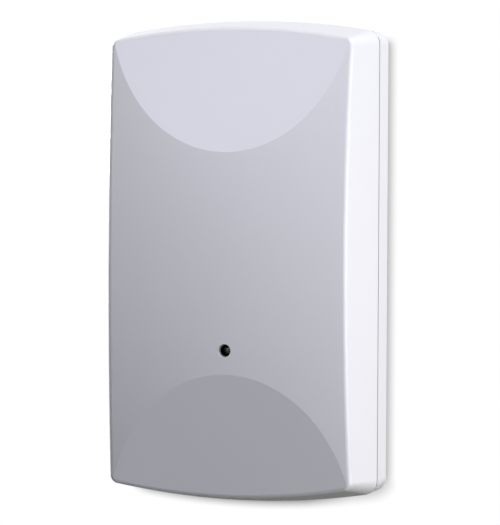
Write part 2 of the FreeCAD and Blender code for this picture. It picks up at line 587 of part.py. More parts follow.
can_bore = slanted("can_bore", "-rib", "tilt_can / 2 - tilt_wall", "tilt_length - tilt_cap + rib")
piece(cut("tilt_tube", slanted("can_outside", "0", "tilt_can / 2", "tilt_length"), can_bore), "tilt_can")
header_bores = []
pins = []
for mark, sign in (("left", "-"), ("right", "")):
    x = f"({COLUMN_X} + {sign}tilt_pitch / 2)"
    bend = along_can("-pin_reach", x)
    header_bores.append(slanted(f"seal_{mark}", "-rib", "tilt_pin / 2", "header_height + 2 * rib", x))
    upper = slanted(f"contact_{mark}", "-pin_reach", "tilt_pin / 2",
                    "pin_reach + header_height + contact_height", x)
    lower = lead(f"tilt_lead_{mark}", x, bend[2], "tilt_pin", bend[1])
    pins.append(fuse(f"tilt_pin_{mark}", upper, lower, ball(f"tilt_bend_{mark}", bend, "tilt_pin / 2")))
header = slanted("header", "0", "tilt_can / 2 - tilt_wall", "header_height")
piece(cut("header_open", header, fuse("header_bores", *header_bores)), "tilt_header")
piece(group("tilt_pin_pair", *pins), "tilt_pins")
piece(ball("steel_ball", along_can(BALL_AT), BALL), "tilt_ball")

# Tamper switch: the cover's post holds its button down
TAMPER_FLOOR = f"({BOARD_FRONT} - tamper_height / 4)"


def tamper_block(name, low, high):
    return block(name, (f"{TAMPER_X} - tamper_side / 2", f"{TAMPER_X} + tamper_side / 2"), (low, high),
                 (f"{TAMPER_Z} - tamper_side / 2", f"{TAMPER_Z} + tamper_side / 2"))


stem_way = rod("stem_way", (TAMPER_X, TAMPER_FLOOR, TAMPER_Z), "tamper_stem / 2 + slide_gap",
               "tamper_height * 2")
flange_room = rod("flange_room", (TAMPER_X, TAMPER_FLOOR, TAMPER_Z), "tamper_flange / 2 + slide_gap",
                  "tamper_flange_height + tamper_travel + 2 * slide_gap")
case = tamper_block("tamper_case", f"{BOARD_FRONT} - tamper_height", BOARD_FRONT)
piece(cut("tamper_hollow", case, fuse("tamper_ways", stem_way, flange_room)), "tamper_switch")
lid = tamper_block("tamper_lid", f"{BOARD_FRONT} - tamper_height - tamper_plate",
                   f"{BOARD_FRONT} - tamper_height")
piece(cut("tamper_lid_open", lid, stem_way), "tamper_plate")
stem = rod("stem", (TAMPER_X, f"{TAMPER_FLOOR} - slide_gap", TAMPER_Z), "tamper_stem / 2",
           f"{TAMPER_FLOOR} - slide_gap - {TAMPER_TIP}")
flange = rod("stem_flange", (TAMPER_X, f"{TAMPER_FLOOR} - slide_gap", TAMPER_Z), "tamper_flange / 2",
             "tamper_flange_height")
piece(fuse("plunger", stem, flange), "tamper_button")
CORNERS = ((-1, -1), (1, -1), (1, 1), (-1, 1))
tamper_set = [lead(f"tamper_lead_{number}", f"({TAMPER_X} + {x} * tamper_pitch / 2)",
                   f"({TAMPER_Z} + {z} * tamper_pitch / 2)", "tamper_lead", BOARD_FRONT)
              for number, (x, z) in enumerate(CORNERS)]
piece(group("tamper_lead_set", *tamper_set), "tamper_leads")


# Surface parts
def on_board(name, x, z, length, width, height, lift="0"):
    """A block on the board's front, centred at a place."""
    return block(name, (f"{x} - {length} / 2", f"{x} + {length} / 2"),
                 (f"{BOARD_FRONT} - {lift} - {height}", f"{BOARD_FRONT} - {lift}"),
                 (f"{z} - {width} / 2", f"{z} + {width} / 2"))


RADIO_Z = f"({BAY_TOP} + shield_gap + shield_width / 2)"
shield_block = on_board("shield_block", COLUMN_X, RADIO_Z, "shield_length", "shield_width", "shield_height")
shield_room = on_board("shield_room", COLUMN_X, RADIO_Z, "(shield_length - 2 * shield_sheet)",
                       "(shield_width - 2 * shield_sheet)", "(shield_height - shield_sheet)")
piece(cut("shield_open", shield_block, shield_room), "radio_shield")
piece(on_board("radio_body", f"({COLUMN_X} - radio_offset)", RADIO_Z, "radio_side", "radio_side",
               "radio_thickness"), "radio_chip")
piece(on_board("radio_clock", f"({COLUMN_X} + radio_crystal_offset)", RADIO_Z, "radio_crystal_width",
               "radio_crystal_length", "radio_thickness"), "radio_crystal")

CONTROLLER_Z = "(-controller_drop)"
piece(on_board("controller_body", COLUMN_X, CONTROLLER_Z, "controller_side", "controller_side",
               "controller_thickness", "pin_sheet"), "controller")
feet = []
for side in range(4):
    for number in range(SIZES["controller_pins"]):
        along = f"(({number} - (controller_pins - 1) / 2) * controller_pitch)"
        out = "((controller_side + controller_foot) / 2)"
        sign = "-" if side % 2 else ""
        if side < 2:
            place = (f"({COLUMN_X} + {along})", f"({CONTROLLER_Z} + {sign}{out})", "pin_width",
                     "controller_foot")
        else:
            place = (f"({COLUMN_X} + {sign}{out})", f"({CONTROLLER_Z} + {along})", "controller_foot",
                     "pin_width")
        feet.append(on_board(f"foot_{side}_{number}", *place, "pin_sheet * 2"))
piece(group("controller_feet", *feet), "controller_leads")


def stadium(name, x, z, length, width, height, lift="0"):
    """A block with half-round ends, lying across the board."""
    middle = on_board(f"{name}_middle", x, z, f"({length} - {width})", width, height, lift)
    ends = [rod(f"{name}_{mark}", (f"{x} + {sign}({length} - {width}) / 2", f"{BOARD_FRONT} - {lift}", z),
                f"{width} / 2", height) for mark, sign in (("left", "-"), ("right", ""))]
    return fuse(name, middle, *ends)


CRYSTAL_LENGTH = "(crystal_length + crystal_flange)"
CRYSTAL_WIDTH = "(crystal_width + crystal_flange)"
CRYSTAL_X = f"({BOARD_SIDE} - chip_edge_gap - {CRYSTAL_LENGTH} / 2)"
CRYSTAL_Z = f"({CONTROLLER_Z} - controller_side / 2 - controller_foot - crystal_gap - {CRYSTAL_WIDTH} / 2)"
flange = stadium("crystal_rim", CRYSTAL_X, CRYSTAL_Z, CRYSTAL_LENGTH, CRYSTAL_WIDTH, "crystal_flange")
case = stadium("crystal_case", CRYSTAL_X, CRYSTAL_Z, "crystal_length", "crystal_width", "crystal_height")
piece(fuse("crystal_all", flange, case), "clock_crystal")

CAPACITOR_X = f"({BAY_SIDE} + chip_edge_gap + capacitor_foot / 2)"
CAPACITOR_Z = f"({BAY_BOTTOM} - capacitor_drop)"
piece(on_board("capacitor_block", CAPACITOR_X, CAPACITOR_Z, "capacitor_foot", "capacitor_foot",
               "foot_height"), "capacitor_foot")
piece(rod("capacitor_can", (CAPACITOR_X, f"{BOARD_FRONT} - foot_height", CAPACITOR_Z), "capacitor / 2",
          "capacitor_height - foot_height"), "capacitor_can")

REGULATOR_X = CELL_X
REGULATOR_Z = f"({BAY_BOTTOM} - clip_foot - regulator_gap - regulator_width / 2)"
piece(on_board("regulator_body", REGULATOR_X, REGULATOR_Z, "regulator_length", "regulator_width",
               "regulator_height"), "regulator")
TAB_Z = f"({REGULATOR_Z} - regulator_width / 2 - controller_foot / 2)"
tabs = [on_board(f"regulator_tab_{mark}", f"({REGULATOR_X} + {mark - 1} * regulator_pitch)", TAB_Z,
                 "pin_width", "controller_foot", "pin_sheet * 2")
        for mark in range(3)]
piece(group("regulator_tabs", *tabs), "regulator_leads")

LOW_STRIP_Z = f"({BAY_BOTTOM} - clip_foot - strip_gap - chip_width / 2)"
HIGH_STRIP_Z = f"({BAY_TOP} + clip_foot + strip_gap + chip_width / 2)"
resistor_spots = [(EDGE_X, f"({number} * chip_pitch - resistor_drop)") for number in range(5)]
resistor_spots += [(f"({REGULATOR_X} {sign} strip_reach)", LOW_STRIP_Z) for sign in "-+"]
filter_spots = [(EDGE_X, f"({number} * chip_pitch + filter_rise)") for number in range(4)]
filter_spots += [(f"({CELL_X} + {number} * strip_pitch)", HIGH_STRIP_Z) for number in (-1, 0, 1, 2)]
for spots, label in ((resistor_spots, "resistors"), (filter_spots, "filter_capacitors")):
    chips = [on_board(f"{label}_{number}", x, z, "chip_length", "chip_width", "chip_height")
             for number, (x, z) in enumerate(spots)]
    piece(group(f"{label}_set", *chips), label)


# Antenna: one bent wire, soldered at both ends
def bent_wire(corners, bend, diameter):
    """A round wire along straight runs joined by arcs of one radius."""
    edges = []
    start = corners[0]
    for before, corner, after in zip(corners, corners[1:], corners[2:]):
        to_back = (before - corner).normalize()
        to_next = (after - corner).normalize()
        half = to_back.getAngle(to_next) / 2
        reach = bend / math.tan(half)
        first = corner + to_back * reach
        last = corner + to_next * reach
        centre = corner + (to_back + to_next).normalize() * (bend / math.sin(half))
        middle = centre + (corner - centre).normalize() * bend
        edges.append(Part.LineSegment(start, first).toShape())
        edges.append(Part.Arc(first, middle, last).toShape())
        start = last
    edges.append(Part.LineSegment(start, corners[-1]).toShape())
    path = Part.Wire(edges)
    direction = (corners[1] - corners[0]).normalize()
    ring = Part.Wire([Part.Circle(corners[0], direction, diameter / 2).toShape()])
    return path.makePipeShell([ring], True, True)


ANTENNA_LEFT = (f"(-{BOARD_SIDE} + antenna_left)", f"({BAY_TOP} + clip_foot + antenna_gap)")
ANTENNA_RIGHT = (f"({BOARD_SIDE} - antenna_right)", f"({BOARD_END} - antenna_bend)")
TAIL = f"{BOARD_BACK} + lead_tail"
RISE = f"{BOARD_FRONT} - antenna_rise"
for mark, (x, z) in (("left", ANTENNA_LEFT), ("right", ANTENNA_RIGHT)):
    board_hole(f"antenna_{mark}", x, z, "antenna_wire")
route = [(ANTENNA_LEFT[0], TAIL, ANTENNA_LEFT[1]), (ANTENNA_LEFT[0], RISE, ANTENNA_LEFT[1]),
         (ANTENNA_LEFT[0], RISE, ANTENNA_RIGHT[1]), (ANTENNA_RIGHT[0], RISE, ANTENNA_RIGHT[1]),
         (ANTENNA_RIGHT[0], TAIL, ANTENNA_RIGHT[1])]
wire = doc.addObject("Part::Feature", "antenna_loop")
wire.Shape = bent_wire([Vector(*[worth(rule) for rule in spot]) for spot in route],
                       worth("antenna_bend"), worth("antenna_wire"))
piece(wire, "antenna")

# Board screws
screws = []
for mark, (x, z) in BOSS_SPOTS.items():
    board_hole(f"screw_{mark}", x, z, "board_screw")
    head = rod(f"head_{mark}", (x, BOARD_FRONT, z), "board_screw_head / 2", "head_height")
    shank = rod(f"shank_{mark}", (x, f"{BOARD_BACK} + board_screw_grip", z), "board_screw / 2",
                "board_screw_grip + board_thickness + head_height / 2")
    depth = (f"{BOARD_FRONT} - head_height - rib", f"{BOARD_FRONT} - head_height + drive_depth")
    slots = [block(f"drive_{mark}_{turn}", (f"{x} - {wide} / 2", f"{x} + {wide} / 2"), depth,
                   (f"{z} - {tall} / 2", f"{z} + {tall} / 2"))
             for turn, wide, tall in ((0, "drive_width", "drive_length"), (1, "drive_length", "drive_width"))]
    whole = fuse(f"screw_{mark}", head, shank)
    screws.append(cut(f"board_screw_{mark}", whole, fuse(f"cross_{mark}", *slots)))
piece(group("board_screw_pair", *screws), "board_screws")
piece(cut("board_open", board, fuse("board_holes", *board_holes)), "circuit_board")

doc.recompute()
broken = [item.Name for item in doc.Objects if {"Invalid", "Error"} & set(item.State)]
if broken:
    raise RuntimeError(f"failed: {', '.join(broken)}")
for item in pieces:
    if item.Shape.isNull() or not item.Shape.isValid() or not item.Shape.Solids:
        raise RuntimeError(f"{item.Label} has no valid solid")
os.makedirs("parts", exist_ok=True)
for item in pieces:
    item.Shape.exportStep(os.path.join("parts", f"{item.Label}.step"))
    print(item.Label, len(item.Shape.Solids), round(item.Shape.Volume, 2))
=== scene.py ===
# %% [markdown]
# A garage door tilt sensor is a small white box that is screwed to the door. When the door
# swings up and lies flat, a steel ball inside rolls off two pins, and the board sends a
# signal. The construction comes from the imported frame. This script gives every piece its
# finish, adds the small things that a moulding tool or a solder pot leaves behind, and sets
# the light and the camera as in the photograph.

# %% Load the frame
import json
import math

import bpy
from mathutils import Matrix, Quaternion, Vector


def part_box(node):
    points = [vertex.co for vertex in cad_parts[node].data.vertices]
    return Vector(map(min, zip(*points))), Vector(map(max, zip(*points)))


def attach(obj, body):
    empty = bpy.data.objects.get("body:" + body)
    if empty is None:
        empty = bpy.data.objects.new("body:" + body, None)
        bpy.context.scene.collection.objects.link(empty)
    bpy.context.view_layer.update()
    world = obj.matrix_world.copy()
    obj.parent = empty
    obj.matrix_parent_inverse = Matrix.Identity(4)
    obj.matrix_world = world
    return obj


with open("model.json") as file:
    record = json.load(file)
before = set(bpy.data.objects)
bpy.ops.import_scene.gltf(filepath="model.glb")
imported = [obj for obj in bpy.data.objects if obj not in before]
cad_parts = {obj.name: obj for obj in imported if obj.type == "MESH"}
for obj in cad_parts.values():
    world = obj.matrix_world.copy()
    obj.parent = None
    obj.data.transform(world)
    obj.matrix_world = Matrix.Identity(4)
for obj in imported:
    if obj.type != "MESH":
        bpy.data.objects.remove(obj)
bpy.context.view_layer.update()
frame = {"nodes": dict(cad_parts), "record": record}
nodes = frame["nodes"]
MM = 0.001
print("pieces in the frame:", len(nodes))

# %% [markdown]
# Blender's nodes are easier to read as sums than as boxes and wires. `Value` wraps one
# socket: adding, multiplying or comparing two of them places the Math node that does it.
# Every other node comes from `Graph.node`, which takes the node's type, its settings and
# what goes into its sockets. The same two classes build materials, the world and the
# geometry trees.


# %% Nodes that are written as Python
class Value:
    """One number, vector, colour or geometry on its way through a node tree."""

    def __init__(self, graph, socket):
        self.graph = graph
        self.socket = socket

    def _math(self, operation, first, second):
        return self.graph.node("ShaderNodeMath", {"operation": operation}, first, second)

    def __add__(self, other):
        return self._math("ADD", self, other)

    def __sub__(self, other):
        return self._math("SUBTRACT", self, other)

    def __rsub__(self, other):
        return self._math("SUBTRACT", other, self)

    def __mul__(self, other):
        return self._math("MULTIPLY", self, other)

    def __truediv__(self, other):
        return self._math("DIVIDE", self, other)

    def __gt__(self, other):
        return self._math("GREATER_THAN", self, other)

    def __lt__(self, other):
        return self._math("LESS_THAN", self, other)

    def __abs__(self):
        return self._math("ABSOLUTE", self, None)

    __radd__ = __add__
    __rmul__ = __mul__

    def larger(self, other):
        return self._math("MAXIMUM", self, other)

    def clamped(self):
        return self.graph.node("ShaderNodeClamp", {}, self)


class Graph:
    """A node tree with one method that adds any node."""

    def __init__(self, tree):
        self.tree = tree

    def put(self, socket, amount):
        if isinstance(amount, Value):
            self.tree.links.new(amount.socket, socket)
        elif amount is not None:
            socket.default_value = amount

    def node(self, kind, settings, *inputs, output=0, **named):
        made = self.tree.nodes.new(kind)
        for name, amount in settings.items():
            setattr(made, name, amount)
        for index, amount in enumerate(inputs):
            self.put(made.inputs[index], amount)
        for name, amount in named.items():
            self.put(made.inputs[name.replace("_", " ")], amount)
        return Value(self, made.outputs[output])

    def mix(self, factor, first, second):
        """A colour between two colours."""
        made = self.tree.nodes.new("ShaderNodeMix")
        made.data_type = "RGBA"
        for index, amount in ((0, factor), (6, first), (7, second)):
            if isinstance(amount, tuple):
                amount = (*amount, 1.0)
            self.put(made.inputs[index], amount)
        return Value(self, made.outputs[2])


class Finish(Graph):
    """A node-based material, built from its Principled shader backwards."""

    def __init__(self, name, colour, roughness=0.5, metallic=0.0, **plain):
        self.material = bpy.data.materials.new(name)
        self.material.use_nodes = True
        super().__init__(self.material.node_tree)
        self.shader = self.tree.nodes["Principled BSDF"]
        self.set(Base_Color=(*colour, 1.0), Roughness=roughness, Metallic=metallic, **plain)

    def set(self, **sockets):
        for name, amount in sockets.items():
            self.put(self.shader.inputs[name.replace("_", " ")], amount)
        return self

    def place(self, scale=(1.0, 1.0, 1.0)):
        """Object coordinates, stretched along each axis."""
        spot = self.node("ShaderNodeTexCoord", {}, output="Object")
        return self.node("ShaderNodeMapping", {}, Vector=spot, Scale=scale)

    def axis(self, letter):
        """One object coordinate in metres."""
        return self.node("ShaderNodeSeparateXYZ", {}, self.place(), output=letter)

    def facing(self, letter):
        """How much the surface faces along one axis, from 0 to 1."""
        normal = self.node("ShaderNodeNewGeometry", {}, output="Normal")
        return abs(self.node("ShaderNodeSeparateXYZ", {}, normal, output=letter))

    def noise(self, per_metre, detail=2.0, rough=0.5, stretch=(1.0, 1.0, 1.0)):
        return self.node("ShaderNodeTexNoise", {}, Vector=self.place(stretch), Scale=per_metre,
                         Detail=detail, Roughness=rough)

    def from_point(self, point):
        """The distance to a point in metres."""
        return self.node("ShaderNodeVectorMath", {"operation": "DISTANCE"}, self.place(), tuple(point),
                         output="Value")

    def bump(self, height, depth, strength=1.0):
        """Raise the surface by a pattern whose full height is the depth in metres."""
        raised = self.node("ShaderNodeBump", {}, Strength=strength, Distance=depth, Height=height)
        return self.set(Normal=raised)


# %% [markdown]
# The cover and the base are moulded in the same white plastic. A mould for such a housing is
# spark eroded, so its surface is a very fine even grain rather than polished, and the
# plastic's own colour drifts a little where it flowed. Noise at two sizes gives both: a fine
# one lifts the surface by some hundredths of a millimetre, and a broad weak one moves the
# colour and the roughness. Other mouldings are the same recipe in another colour.


# %% Moulded plastics
FLOW_PER_METRE = 28


def share(colour, amount):
    return tuple(channel * amount for channel in colour)


def moulded(name, colour, roughness=0.4, grain_size=2600, depth=0.02 * MM, **plain):
    finish = Finish(name, colour, roughness, **plain)
    grain = finish.noise(grain_size, detail=3.0, rough=0.6)
    flow = finish.noise(FLOW_PER_METRE)
    finish.set(Base_Color=finish.mix(flow, share(colour, 0.96), colour))
    finish.set(Roughness=roughness - 0.05 + 0.06 * flow + 0.05 * grain)
    return finish.bump(grain, depth, 0.4)


WHITE = (0.80, 0.80, 0.815)
finishes = {
    "cover_plastic": moulded("cover plastic", WHITE, 0.32),
    "base_plastic": moulded("base plastic", share(WHITE, 0.98), 0.4),
    "black_moulding": moulded("black moulding", (0.018, 0.018, 0.020), 0.45),
    "button_plastic": moulded("button plastic", (0.62, 0.035, 0.03), 0.32),
}

# %% [markdown]
# Between the cover and the base there is a narrow joint, and the outer edge of the base's
# rim is painted dark there as the joint's shade. It is found by its depth and its distance
# to the outline, whose ends are arched.

# %% Painted shade in the joint of the base
base = finishes["base_plastic"]
base_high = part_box("back_base")[1]
JOINT, JOINT_HEIGHT, EDGE, END_SAG = -6.65 * MM, 0.25 * MM, 0.3 * MM, 1.95 * MM
JOINT_SHADE = (0.26, 0.26, 0.27)
side_x, end_z = base_high.x, base_high.z
x, depth, z = [base.axis(letter) for letter in "XYZ"]
arched = abs(z) + x * x * (END_SAG / side_x**2)
outer = (abs(x) > side_x - EDGE).larger(arched > end_z - EDGE)
# painted shade: the outer edge of the rim inside the joint is coloured dark grey, as the joint's shade
painted_joint_shade = outer * (abs(depth - JOINT) < JOINT_HEIGHT)
unshaded_base = base.mix(base.noise(FLOW_PER_METRE), share(WHITE, 0.94), share(WHITE, 0.98))
base.set(Base_Color=base.mix(painted_joint_shade, unshaded_base, JOINT_SHADE))

# %% [markdown]
# Metal shows how it was worked. A rolled sheet has fine streaks along one way, a tinned lead
# has soft blotches where the tin set, and a turned or drawn can has rings. All of them are
# noise stretched along the axis of the work, which moves the roughness much and the colour
# little.


# %% Metals
def worked_metal(name, colour, roughness, stretch, per_metre=900, streak=0.18, depth=0.006 * MM):
    finish = Finish(name, colour, roughness, 1.0)
    streaks = finish.noise(per_metre, detail=3.0, rough=0.55, stretch=stretch)
    blotches = finish.noise(220)
    finish.set(Base_Color=finish.mix(0.5 * streaks + 0.5 * blotches, share(colour, 0.86), colour))
    finish.set(Roughness=(roughness - streak / 2 + streak * streaks).clamped())
    return finish.bump(streaks, depth, 0.5)


ALONG_Z = (1.0, 1.0, 0.06)
ALONG_X = (0.06, 1.0, 1.0)
EVEN = (1.0, 1.0, 1.0)
STEEL, NICKEL, TIN = (0.60, 0.60, 0.61), (0.70, 0.68, 0.64), (0.78, 0.78, 0.79)
ALUMINIUM = (0.80, 0.80, 0.81)
finishes.update({
    "cell_steel": worked_metal("cell steel", STEEL, 0.30, ALONG_Z),
    "contact_metal": worked_metal("nickelled sheet", NICKEL, 0.28, ALONG_X),
    "tilt_metal": worked_metal("drawn can", NICKEL, 0.22, EVEN, 1500, 0.10),
    "ball_steel": worked_metal("polished ball", (0.66, 0.66, 0.68), 0.08, EVEN, 3000, 0.05, 0.001 * MM),
    "tinned_lead": worked_metal("tinned lead", TIN, 0.26, EVEN, 1200, 0.12),
    "antenna_metal": worked_metal("enamelled copper", (0.72, 0.30, 0.14), 0.24, EVEN, 700, 0.10),
    "screw_steel": worked_metal("zinc plate", (0.63, 0.65, 0.68), 0.30, EVEN, 1600, 0.16),
})

# %% [markdown]
# The capacitor's can is pressed from aluminium. Its top is scored with a cross, so that it
# tears there and not elsewhere, and a dark segment marks one side. Both are drawn from the
# distance to the can's middle, which the frame gives.

# %% Capacitor can
low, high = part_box("capacitor_can")
can_middle = (low + high) / 2
SEGMENT_FROM, SCORE_HALF = 1.3 * MM, 0.12 * MM
finish = worked_metal("aluminium can", ALUMINIUM, 0.30, EVEN, 1400, 0.12)
across, along = finish.axis("X") - can_middle.x, finish.axis("Z") - can_middle.z
on_top = finish.facing("Y") > 0.9
marked = on_top * (across > SEGMENT_FROM)
scored = on_top * ((abs(across) < SCORE_HALF).larger(abs(along) < SCORE_HALF))
finish.set(Base_Color=finish.mix(marked, ALUMINIUM, (0.03, 0.03, 0.035)), Metallic=1 - marked)
finishes["capacitor_metal"] = finish.bump(1 - scored, 0.1 * MM, 0.8)

# %% [markdown]
# A board is woven glass in resin under a green lacquer. The weave shows as a faint square
# ripple, and the sawn edge shows the bare resin. The surface faces forwards or back on the
# lacquer and sideways on an edge, so the normal tells them apart.

# %% Circuit board
finish = Finish("green laminate", (0.012, 0.105, 0.042), 0.3, Coat_Weight=0.5, Coat_Roughness=0.12)
warp, weft = [finish.node("ShaderNodeTexWave", {"bands_direction": way}, Vector=finish.place(), Scale=1500.0,
                          Distortion=0.8, output="Fac") for way in "XZ"]
lacquer = finish.mix(finish.noise(160), (0.010, 0.090, 0.036), (0.014, 0.125, 0.050))
sawn = finish.facing("Y") < 0.5
finish.set(Base_Color=finish.mix(sawn, lacquer, (0.42, 0.36, 0.20)),
           Roughness=0.26 + 0.45 * sawn + 0.06 * weft)
finishes["board_laminate"] = finish.bump(warp + weft, 0.002 * MM, 0.4)

# %% [markdown]
# The cell has a plain wrap that was shrunk on: it is glossy, it ripples a little, and it
# puckers near both ends where it turns over the rim. A pale band marks the positive end.

# %% Battery wrap
low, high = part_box("battery_sleeve")
BAND_TOP, BAND_BOTTOM, PUCKER_LENGTH = 1.2 * MM, 6.0 * MM, 2.0 * MM
finish = Finish("shrunk wrap", (0.10, 0.17, 0.30), 0.22, Coat_Weight=0.4, Coat_Roughness=0.1)
height = finish.axis("Z")
band = (height > high.z - BAND_BOTTOM) * (height < high.z - BAND_TOP)
near_end = (abs(height - (low.z + high.z) / 2) - ((high.z - low.z) / 2 - PUCKER_LENGTH)) / PUCKER_LENGTH
puckers = finish.noise(700, stretch=(1.0, 1.0, 0.12)) * near_end.clamped()
ripples = finish.noise(90, detail=3.0, stretch=(1.0, 1.0, 0.4))
finish.set(Base_Color=finish.mix(band, (0.07, 0.16, 0.34), (0.62, 0.64, 0.66)))
finish.set(Roughness=0.18 + 0.10 * ripples)
finishes["cell_wrap"] = finish.bump(puckers + 0.5 * ripples, 0.12 * MM, 0.6)

# %% [markdown]
# The small black chips are pressed from an epoxy full of glass flour, so they are matt and
# faintly speckled. A dimple marks the controller's first pin. The ceramic capacitors are
# fired bare, tan and even. The light has a smoked lens, which looks black until it is lit.

# %% Chips and lens
low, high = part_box("controller")
DIMPLE_INSET, DIMPLE_RADIUS = 0.9 * MM, 0.4 * MM
finish = moulded("chip epoxy", (0.030, 0.030, 0.032), 0.55, 5200, 0.012 * MM)
speckle = finish.noise(9000, detail=1.0)
dimple = finish.from_point((low.x + DIMPLE_INSET, low.y, high.z - DIMPLE_INSET)) < DIMPLE_RADIUS
finish.set(Base_Color=finish.mix(speckle, (0.016, 0.016, 0.018), (0.050, 0.050, 0.052)))
finish.set(Roughness=0.60 - 0.35 * dimple)
finishes["chip_epoxy"] = finish.bump(speckle - 3.0 * dimple, 0.02 * MM, 0.6)
finishes["chip_ceramic"] = moulded("fired ceramic", (0.42, 0.29, 0.17), 0.5, 6000, 0.01 * MM)
lens = Finish("smoked lens", (0.020, 0.008, 0.008), 0.06, Coat_Weight=0.8, Coat_Roughness=0.03)
cloud = lens.noise(500)
lens.set(Base_Color=lens.mix(cloud, (0.016, 0.006, 0.006), (0.026, 0.010, 0.010)),
         Roughness=0.05 + 0.04 * cloud)
finishes["light_lens"] = lens

# %% Give the frame's pieces their finishes
slots = {part["node"]: part["material_slot"] for part in frame["record"]["subparts"]}


def dress(piece, slot):
    if not piece.data.materials:
        piece.data.materials.append(finishes[slot].material)
    for place in piece.material_slots:
        place.material = finishes[slot].material


for node, slot in slots.items():
    dress(nodes[node], slot)
print("finishes:", len(finishes), "for", len(set(slots.values())), "slots")

# %% [markdown]
# Solder joints, pads, end caps and mould marks are all one small shape that is repeated at
# many places and sizes, so Geometry Nodes put it there. The input is a mesh of loose points
# that each carry a size. A cone with many sides, whose waist is drawn in, is a solder joint;
# with equal ends and no waist it is a disc, and a cube is a pad.


# %% Repeat one small shape
def geometry_graph(name, **sizes):
    tree = bpy.data.node_groups.new(name, "GeometryNodeTree")
    tree.interface.new_socket("Geometry", in_out="INPUT", socket_type="NodeSocketGeometry")
    tree.interface.new_socket("Geometry", in_out="OUTPUT", socket_type="NodeSocketGeometry")
    for label, amount in sizes.items():
        tree.interface.new_socket(label, in_out="INPUT", socket_type="NodeSocketFloat").default_value = amount
    graph = Graph(tree)
    inputs = tree.nodes.new("NodeGroupInput").outputs
    return graph, {socket.name: Value(graph, socket) for socket in inputs if socket.name}


def end_with(graph, geometry, slot):
    """Make instances real, give them their material and send them out of the tree."""
    real = graph.node("GeometryNodeRealizeInstances", {}, geometry)
    dressed = graph.node("GeometryNodeSetMaterial", {}, Geometry=real, Material=finishes[slot].material)
    graph.put(graph.tree.nodes.new("NodeGroupOutput").inputs[0], dressed)


def shape_graph(name, slot, kind, **sizes):
    graph, given = geometry_graph(name, **sizes)
    if kind == "round":
        cone = graph.node("GeometryNodeMeshCone", {}, Vertices=20, Side_Segments=5, Radius_Top=given["Top"],
                          Radius_Bottom=1.0, Depth=1.0)
        spot = graph.node("GeometryNodeInputPosition", {})
        x, y, z = [graph.node("ShaderNodeSeparateXYZ", {}, spot, output=letter) for letter in "XYZ"]
        waist = 1 - 4 * given["Waist"] * z * (1 - z)
        moved = graph.node("ShaderNodeCombineXYZ", {}, x * waist, y * waist, z)
        shape = graph.node("GeometryNodeSetPosition", {}, Geometry=cone, Position=moved)
    else:
        cube = graph.node("GeometryNodeMeshCube", {}, (1.0, 1.0, 1.0))
        shape = graph.node("GeometryNodeSetPosition", {}, Geometry=cube, Offset=(0.0, 0.0, 0.5))
    size = graph.node("GeometryNodeInputNamedAttribute", {"data_type": "FLOAT_VECTOR"}, "size")
    placed = graph.node("GeometryNodeInstanceOnPoints", {}, Points=given["Geometry"], Instance=shape,
                        Scale=size)
    end_with(graph, placed, slot)
    return graph.tree


def run_tree(tree, mesh, name, body, slot, place, rounding=0.0, **sizes):
    """Run a tree on a mesh and keep what it makes as one plain piece that rides on a body."""
    piece = bpy.data.objects.new(name, mesh)
    bpy.context.scene.collection.objects.link(piece)
    modifier = piece.modifiers.new("made", "NODES")
    modifier.node_group = tree
    for socket in tree.interface.items_tree:
        if socket.in_out == "INPUT" and socket.name in sizes:
            modifier[socket.identifier] = sizes[socket.name]
    if rounding:
        bevel = piece.modifiers.new("rounded", "BEVEL")
        bevel.width, bevel.segments, bevel.limit_method = rounding, 2, "ANGLE"
    made = bpy.data.meshes.new_from_object(piece.evaluated_get(bpy.context.evaluated_depsgraph_get()))
    piece.modifiers.clear()
    made.transform(place)
    piece.data = made
    for face in made.polygons:
        face.use_smooth = True
    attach(piece, body)
    print(name, "has", len(made.polygons), "faces")


def point_mesh(spots, sizes):
    mesh = bpy.data.meshes.new("spots")
    mesh.from_pydata([tuple(spot) for spot in spots], [], [])
    stored = mesh.attributes.new("size", "FLOAT_VECTOR", "POINT")
    for entry, size in zip(stored.data, sizes):
        entry.vector = size
    return mesh


# %% [markdown]
# Everything on the board is laid out flat, as on a drawing: x across, y along the board and
# z away from it. Two turns put such a drawing on the board's front or on its back. A node may
# hold several separate solids, such as eight resistors, and `lumps` gives the box of each.


# %% Places on the board
def lumps(node):
    """The boxes of the separate solids in a node, as pairs of low and high corners."""
    mesh = nodes[node].data
    owner = {}

    def root(key):
        while owner[key] != key:
            key = owner[key]
        return key

    keys = [tuple(round(value, 6) for value in vertex.co) for vertex in mesh.vertices]
    for key in keys:
        owner[key] = key
    for face in mesh.polygons:
        first = root(keys[face.vertices[0]])
        for corner in face.vertices[1:]:
            owner[root(keys[corner])] = first
    groups = {}
    for key in owner:
        groups.setdefault(root(key), []).append(key)
    return sorted((Vector(map(min, zip(*group))), Vector(map(max, zip(*group))))
                  for group in groups.values())


board_low, board_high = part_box("circuit_board")
ON_FRONT = Matrix.Translation((0.0, board_low.y, 0.0)) @ Matrix.Rotation(math.pi / 2, 4, "X")
ON_BACK = Matrix.Translation((0.0, board_high.y, 0.0)) @ Matrix.Rotation(-math.pi / 2, 4, "X")


def middles(boxes):
    return [((low.x + high.x) / 2, (low.z + high.z) / 2) for low, high in boxes]


LEADS = ("light_leads", "tamper_leads", "tilt_pins", "antenna")
WIRE_RADIUS = 0.5 * MM
through = []
for node in LEADS:
    for low, high in lumps(node):
        if node == "antenna":
            through += [(low.x + WIRE_RADIUS, low.z + WIRE_RADIUS, WIRE_RADIUS),
                        (high.x - WIRE_RADIUS, high.z - WIRE_RADIUS, WIRE_RADIUS)]
        else:
            radius = (high.x - low.x) / 2
            through.append(((low.x + high.x) / 2, low.z + radius, radius))
print("leads through the board:", len(through))

# %% [markdown]
# Where a lead comes through the board, solder climbs it as a small tent with hollow sides.
# The joint is tall on the back, where the board met the wave of solder, and low on the front.

